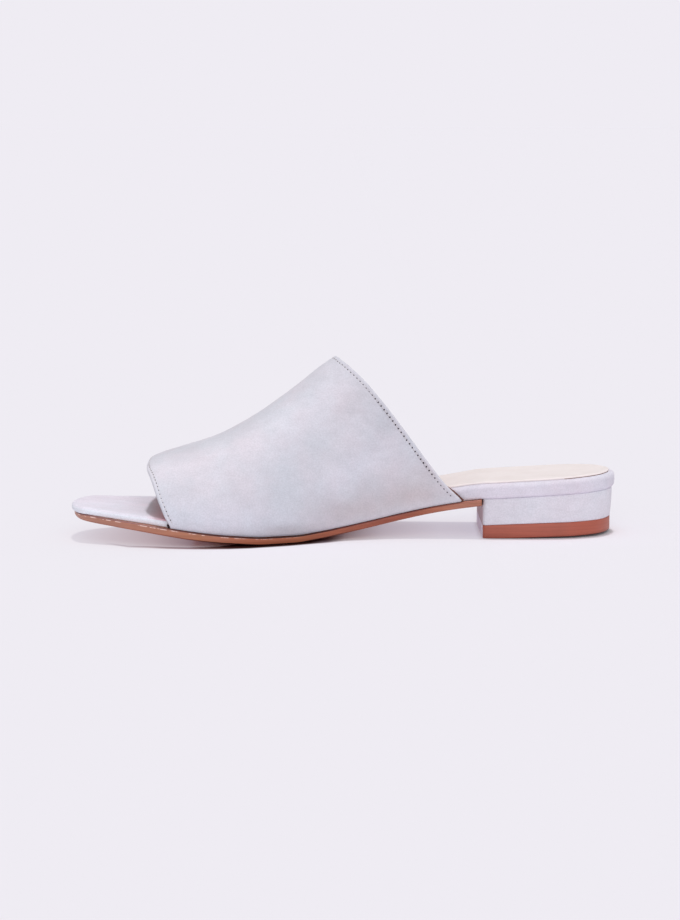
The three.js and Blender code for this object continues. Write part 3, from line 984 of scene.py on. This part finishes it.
def heel_rings(rows, corner, point):
    """Rings from the back of the heel to its breast, with a point for each row and side."""
    length, depth = corner
    rings = []
    for at in places(END, HEEL_LENGTH / LENGTH, 120, True, False):
        left = min(1.0, (HEEL_LENGTH - at * LENGTH) / length)
        inward = depth * (1 - math.sqrt(max(0.0, 1 - (1 - left) ** 2)))
        near = [point(row, at, -1, inward) for row in rows]
        far = [point(row, at, 1, inward) for row in rows]
        rings.append(near + far[::-1])
    return np.array(rings)


def back_lean(d):
    return HEEL_LEAN * max(0.0, 1 - float(d) / LEAN_FADE)


def heel_point(row, at, side, inward):
    share, extra = row
    into = HEEL_IN_FOOT + (HEEL_IN_TOP - HEEL_IN_FOOT) * share + inward
    d, y = outline(at, side, extra - into)
    low = top_of_lift(d) + COVER_UP
    high = top_of_sole(d) + COVER_UP
    return float(d) + (1 - share) * back_lean(d), float(y), float(low + (high - low) * share)


def lift_point(row, at, side, inward):
    share, up, extra = row
    d, y = outline(at, side, extra - HEEL_IN_FOOT - LIFT_IN - inward)
    low = under_lift(d)
    high = top_of_lift(d)
    return float(d) + back_lean(d), float(y), float(low + (high - low) * share + up)


def make_heel():
    rings = heel_rings(HEEL_ROWS, HEEL_CORNER, heel_point)
    breast = len(rings) - 1
    piece = loft("heel_cover", rings, lambda k, s: int(s == breast), [HEEL_SUEDE, BREAST])
    keep_flat(piece, 1)
    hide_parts("heel")
    return piece


def make_lift():
    rings = heel_rings(LIFT_ROWS, LIFT_CORNER, lift_point)
    count = rings.shape[1]

    def slot(k, s):
        if s == len(rings) - 1:
            return 1
        return 2 if k < 2 or k > count - 4 else 0

    piece = loft("top_piece", rings, slot, [LIFT_EDGE, LOW_BREAST_LIGHT, LIFT_FOOT_SHADE])
    keep_flat(piece, 1)
    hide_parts("heel_lift")
    return piece


# The band
def band_face(at, round_):
    """Outer face of the band: a place along the shoe and the way round from 0 to 1."""
    d = at * LENGTH
    foot = top_of_sole(d) + GAP
    rise = INSTEP * ridge_share(at) - foot
    lean = -BALL * lean_share(at)
    power = 2 / square_of(at)
    side = np.where(round_ < 0.5, -1.0, 1.0)
    turn = turn_at(at)
    half = BALL * np.where(side < 0, inner_half(turn), outer_half(turn))
    reach = half - GAP - side * lean
    c = np.abs(np.cos(np.pi * round_))
    s = np.abs(np.sin(np.pi * round_))
    up = rise * s ** power
    belly = SWELL * swell_share(at) * (up / SWELL_UP) * np.exp(1 - up / SWELL_UP) * np.minimum(1, 2 * c)
    return np.stack([d, lean + side * (reach * c ** power + belly), foot + up], axis=-1)


def unit(v):
    return v / np.maximum(np.linalg.norm(v, axis=-1, keepdims=True), 1e-9)


def band_normal(at, round_):
    e = 1e-3
    low = np.clip(round_ - e, 0, 1)
    high = np.clip(round_ + e, 0, 1)
    around = band_face(at, high) - band_face(at, low)
    ahead = band_face(at + e, round_) - band_face(at - e, round_)
    normal = unit(np.cross(ahead, around))
    centre = np.stack([at * LENGTH, at * 0 + CORE[0], at * 0 + CORE[1]], axis=-1)
    sign = np.sign(np.sum(normal * (band_face(at, round_) - centre), axis=-1, keepdims=True))
    return normal * sign


def edge_frame(edge, round_):
    """At a cut edge: the share of the length that one millimetre square to the edge takes."""
    e = 1e-3
    low = np.clip(round_ - e, 0, 1)
    high = np.clip(round_ + e, 0, 1)
    at = edge(round_)
    run = unit(band_face(edge(high), high) - band_face(edge(low), low))
    ahead = (band_face(at + e, round_) - band_face(at - e, round_)) / (2 * e)
    square = ahead - run * np.sum(ahead * run, axis=-1, keepdims=True)
    return 1 / np.linalg.norm(square, axis=-1), unit(square)


def blobs(rows, key, d, up):
    """Sum of soft long spots from a table, on the near side and mirrored round the arch."""
    total = np.zeros_like(d)
    for i in range(len(rows["heel"])):
        a = math.radians(rows["turn"][i])
        along_d = d - rows["heel"][i]
        along_u = up - rows["up"][i]
        u = -along_d * math.cos(a) + along_u * math.sin(a)
        v = along_d * math.sin(a) + along_u * math.cos(a)
        total += rows[key][i] * np.exp(-(u / rows["reach"][i]) ** 2 - (v / rows["wide"][i]) ** 2)
    return total


def band_grid():
    """Places on the band: rows close together near both edges."""
    round_ = np.linspace(0, 1, BAND_COLUMNS + 1)
    front, back = front_edge(round_), back_edge(round_)
    per_front, _ = edge_frame(front_edge, round_)
    per_back, _ = edge_frame(back_edge, round_)
    near = np.arange(SKIN, CLOSE_REACH - 0.1, CLOSE_ROWS)
    rows = [front - off * per_front for off in near]
    start = front - CLOSE_REACH * per_front
    stop = back + CLOSE_REACH * per_back
    rows += [start + (stop - start) * i / BAND_ROWS for i in range(BAND_ROWS + 1)]
    rows += [back + off * per_back for off in near[::-1]]
    at = np.array(rows).T
    return at, np.repeat(round_[:, None], at.shape[1], axis=1)


def beside_edges(off_front, front, off_back, back):
    """Is 1 on a line beside each cut edge and fades to both sides of it."""
    return np.exp(-((off_front - front) / SEAM_WIDE) ** 2) + np.exp(-((off_back - back) / SEAM_WIDE) ** 2)


def rolled(first, last, way):
    """Points round a cut edge from one face of the leather to the other."""
    middle = (first + last) / 2
    turns = [math.pi * i / (ROLL_POINTS + 1) for i in range(1, ROLL_POINTS + 1)]
    return [middle + (first - middle) * math.cos(a) + way * SKIN * math.sin(a) for a in turns]


def make_band():
    at, round_ = band_grid()
    outer = band_face(at, round_)
    normal = band_normal(at, round_)
    for k in (0, BAND_COLUMNS):
        normal[k] = unit(normal[k] * np.array([0, 1, 0]))
    walk = np.linalg.norm(np.diff(outer, axis=0), axis=-1)
    from_near = np.vstack([np.zeros(outer.shape[1]), np.cumsum(walk, axis=0)])
    up = np.minimum(from_near, from_near[-1] - from_near)
    d = outer[:, :, 0]
    per_front, square_front = edge_frame(front_edge, round_[:, 0])
    per_back, square_back = edge_frame(back_edge, round_[:, 0])
    off_front = (front_edge(round_) - at) / per_front[:, None]
    off_back = (at - back_edge(round_)) / per_back[:, None]
    calm = np.clip(up / CALM, 0, 1)
    sink = blobs(CREASES, "depth", d, up) * calm
    seam = SEAM_DEPTH * beside_edges(off_front, STITCH_IN, off_back, STITCH_IN)
    lip = LIP_RISE * beside_edges(off_front, LIP_FRONT, off_back, LIP_BACK)
    inner = outer - normal * (WALL + LINING_FOLLOWS * sink)[..., None]
    inner[0] = outer[0] + np.array([0, WALL, 0])
    inner[-1] = outer[-1] - np.array([0, WALL, 0])
    face = outer - normal * (sink + (seam - lip) * calm)[..., None]
    face[..., 1] += np.where(round_ < 0.5, TUCK, -TUCK) * np.clip(1 - up / TUCK_UP, 0, 1)
    rings = []
    for k in range(BAND_COLUMNS + 1):
        loop = list(face[k])
        loop += rolled(face[k][-1], inner[k][-1], -square_back[k])
        loop += list(inner[k][::-1])
        loop += rolled(inner[k][0], face[k][0], square_front[k])
        rings.append(loop)
    rows = at.shape[1]
    last_cut = 2 * rows + ROLL_POINTS + 4

    def slot(k, s):
        """Suede over the face and part of each rolled edge, then the cut edge, then the lining."""
        into = min(k - rows, last_cut - k)
        if into < 2:
            return 0
        return 1 if into < 5 else 2

    piece = loft("band", rings, slot, [BAND_SUEDE, CUT_EDGE, LINING], -3)
    # The suede's own patches with painted shade and painted light of its folds, as a colour per point
    light = 1 + blobs(TONES_LIGHT_AND_SHADE, "light", d, up)
    warm = blobs(TONES_LIGHT_AND_SHADE, "warm", d, up)
    tone_light_and_shade = np.ones((BAND_COLUMNS + 1, len(rings[0]), 4))
    tone_light_and_shade[:, :rows, :3] = np.stack([light + warm, light - 0.3 * warm, light - 0.7 * warm], axis=-1)
    set_tone_light_and_shade(piece, tone_light_and_shade)
    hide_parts("upper")
    return piece


def stitch_row(edge, sign):
    """Needle holes along a cut edge: their points and the face's normals there."""
    fine = np.linspace(*STITCH_ENDS, 4000)
    per, _ = edge_frame(edge, fine)
    path = band_face(edge(fine) + sign * STITCH_IN * per, fine)
    walk = np.concatenate([[0], np.cumsum(np.linalg.norm(np.diff(path, axis=0), axis=-1))])
    count = int(walk[-1] / PITCH)
    marks = np.interp(np.arange(count + 1) * walk[-1] / count, walk, fine)
    at = edge(marks) + sign * STITCH_IN * edge_frame(edge, marks)[0]
    return band_face(at, marks), band_normal(at, marks)


def add_stitch(points, faces, a, b, normal):
    """One stitch from hole to hole, which rises out of the suede and sinks back."""
    side = np.cross(normal, unit(b - a))
    first = len(points)
    for j in range(THREAD_STEPS + 1):
        t = j / THREAD_STEPS
        lift = THREAD_RISE * math.sin(math.pi * t) - THREAD_SUNK
        middle = a + (b - a) * (THREAD_END + (1 - 2 * THREAD_END) * t) + normal * lift
        taper = math.sin(math.pi * (THREAD_TAPER + (1 - 2 * THREAD_TAPER) * t))
        thick = THREAD_RADIUS * math.sqrt(max(0.05, taper))
        for k in range(THREAD_SIDES):
            w = 2 * math.pi * k / THREAD_SIDES
            points.append(middle + side * thick * math.cos(w) + normal * thick * THREAD_FLAT * math.sin(w))
    faces += strips(first, THREAD_STEPS + 1, THREAD_SIDES)
    last = first + THREAD_STEPS * THREAD_SIDES
    faces.append(tuple(first + k for k in range(THREAD_SIDES)))
    faces.append(tuple(last + k for k in range(THREAD_SIDES - 1, -1, -1)))


def add_hole(points, faces, place, ahead, normal):
    """One needle hole: a small dish that lies in the suede, painted dark with the shade inside the hole.
    """
    side = np.cross(normal, ahead)
    first = len(points)
    points.append(place - normal * HOLE_MIDDLE)
    for k in range(HOLE_SIDES):
        w = 2 * math.pi * k / HOLE_SIDES
        rim = ahead * HOLE_LONG * math.cos(w) + side * HOLE_WIDE * math.sin(w)
        points.append(place + rim - normal * HOLE_SUNK)
        faces.append((first, first + 1 + k, first + 1 + (k + 1) % HOLE_SIDES))


def make_stitches():
    points, faces, hole_points, hole_faces = [], [], [], []
    for edge, sign in ((front_edge, -1), (back_edge, 1)):
        holes, normals = stitch_row(edge, sign)
        last = len(holes) - 1
        for i in range(last):
            add_stitch(points, faces, holes[i], holes[i + 1], unit(normals[i] + normals[i + 1]))
        for i in range(last + 1):
            ahead = unit(holes[min(i + 1, last)] - holes[max(i - 1, 0)])
            add_hole(hole_points, hole_faces, holes[i], ahead, normals[i])
    thread = add_mesh("band_thread", to_frame(points), faces, None, [THREAD])
    holes = add_mesh("band_holes", to_frame(hole_points), hole_faces, None, [HOLE])
    return [thread, holes]


# Where dark pieces sit at the band's low corners, the lining's cut edge with painted shade at the back and
# a
# painted shadow in the notch at the front: edge, way round from and to, side of the edge, reach, material
CORNERS = [
    (back_edge, 0.0, 0.027, -1, 0.55, 0),
    (back_edge, 1.0, 0.973, -1, 0.55, 0),
    (front_edge, 0.0, 0.011, 1, 1.2, 1),
    (front_edge, 1.0, 0.989, 1, 1.2, 1),
]
CUT_MARKS = 40  # sections of each
CUT_FADE = 14  # of them, those over which it fades out


def make_lining_cut_and_notch_shadow():
    """Dark lines at the band's low corners: the lining's cut edge, darkened with painted shade, and a
    painted shadow in the front notch.
    """
    points, faces, slots = [], [], []
    count = len(CUT_ROWS)
    for edge, low, high, sign, reach, slot in CORNERS:
        marks = np.linspace(low, high, CUT_MARKS)
        _, square = edge_frame(edge, marks)
        normals = band_normal(edge(marks), marks)
        normals[0] = unit(normals[0] * np.array([0, 1, 0]))
        for k in range(CUT_MARKS):
            out = reach * min(1.0, (CUT_MARKS - 1 - k) / CUT_FADE)
            place = band_face(edge(marks[k]), marks[k])
            first = len(points)
            for into, share, more in CUT_ROWS:
                points.append(place - normals[k] * into + sign * square[k] * (share * out + more))
            if k:
                for j in range(count):
                    after = (j + 1) % count
                    faces.append((first - count + j, first - count + after, first + after, first + j))
                    slots.append(slot)
            if k in (0, CUT_MARKS - 1):
                faces.append(tuple(range(first, first + count)))
                slots.append(slot)
    piece = add_mesh("lining_cut_and_notch_shadow", to_frame(points), faces, slots, [GAP_EDGE_SHADE, NOTCH_SHADOW])
    return piece


def floor_look():
    """White floor that glows with painted light, in the backdrop's colour, where shadows are to be thin,
    and carries a painted dark shadow rim.
    """
    look = Look("floor", 1.0, Specular_IOR_Level=0.0, Emission_Strength=1.0)
    # Painted light: the floor gives off part of its brightness itself
    fill = colours_of(FLOOR_PAINTED_GLOW)
    rest = [(d, (1 - red, 1 - green, 1 - blue, 1.0)) for d, (red, green, blue, _) in fill]
    glow = look.lengthwise(fill)
    shade = look.lengthwise(rest)
    lit = SKY + OVERHEAD + FRONT * FRONT_LOW
    white = tuple(value / lit for value in BACKDROP[:3]) + (1.0,)
    # Painted shadow: the dark rim on the floor beside the ball
    rim = look.lengthwise(colours_of(CONTACT_SHADOW))
    before_far = look.across_line(CONTACT_SHADOW["heel"], CONTACT_SHADOW["far"], CONTACT_SHADOW_SOFT, 1)
    beyond_near = look.across_line(CONTACT_SHADOW["heel"], CONTACT_SHADOW["near"], CONTACT_SHADOW_SOFT, -1)
    rim = look.mix("MIX", beyond_near, grey(1.0), rim)
    rim = look.mix("MIX", before_far, grey(1.0), rim)
    look.colour(look.times(look.times(shade, white), rim))
    glow = look.times(look.times(glow, BACKDROP), rim)
    look.links.new(glow, look.shader.inputs["Emission Color"])
    return look.material


def make_floor():
    points = []
    for radius in FLOOR_RINGS:
        for k in range(FLOOR_POINTS):
            a = 2 * math.pi * k / FLOOR_POINTS
            points.append((radius * math.cos(a), radius * math.sin(a), 0.0))
    points.append((0.0, 0.0, 0.0))
    centre = len(points) - 1
    faces = [(centre, k, (k + 1) % FLOOR_POINTS) for k in range(FLOOR_POINTS)]
    faces += strips(0, len(FLOOR_RINGS), FLOOR_POINTS)
    piece = add_mesh("floor", points, faces, None, [floor_look()])
    return piece


def make_camera():
    data = bpy.data.cameras.new("camera")
    camera = add_object("camera", data)
    data.sensor_width = 36
    data.lens = LENS
    data.clip_start = 0.01
    data.clip_end = 200
    camera.location = to_frame((CAMERA_HEEL, -CAMERA_AWAY, CAMERA_UP))
    aim = Vector(to_frame((CAMERA_HEEL, 0.0, AIM_UP)))
    camera.rotation_euler = (aim - camera.location).to_track_quat("-Z", "Y").to_euler()
    bpy.context.scene.camera = camera


def make_sun(name, toward, share, angle):
    """A soft far light; share is the part of the floor's brightness it gives when straight overhead."""
    data = bpy.data.lights.new(name, "SUN")
    data.energy = share * math.pi
    data.angle = math.radians(angle)
    lamp = add_object(name, data)
    lamp.rotation_euler = Vector(toward).to_track_quat("Z", "Y").to_euler()


def make_world():
    world = bpy.data.worlds.new("studio")
    bpy.context.scene.world = world
    world.use_nodes = True
    nodes, links = world.node_tree.nodes, world.node_tree.links
    back = nodes["Background"]
    back.inputs["Color"].default_value = (1.0, 1.0, 1.0, 1.0)
    back.inputs["Strength"].default_value = SKY
    seen = nodes.new("ShaderNodeBackground")
    seen.inputs["Color"].default_value = BACKDROP
    seen.inputs["Strength"].default_value = 1.0
    path = nodes.new("ShaderNodeLightPath")
    mix = nodes.new("ShaderNodeMixShader")
    links.new(path.outputs["Is Camera Ray"], mix.inputs[0])
    links.new(back.outputs[0], mix.inputs[1])
    links.new(seen.outputs[0], mix.inputs[2])
    links.new(mix.outputs[0], nodes["World Output"].inputs["Surface"])


make_camera()
make_world()
make_floor()
make_sun("overhead", toward=(0.02, 0.08, 1.0), share=OVERHEAD, angle=4.5)
make_sun("front", toward=(0.15, -1.0, 0.5), share=FRONT, angle=50)

pieces = [make_sole(), make_footbed(), make_sock(), make_heel(), make_lift(), make_band()]
pieces += make_stitches()
pieces.append(make_lining_cut_and_notch_shadow())
for piece in pieces:
    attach(piece, "root")

bpy.context.scene.view_settings.view_transform = "Standard"
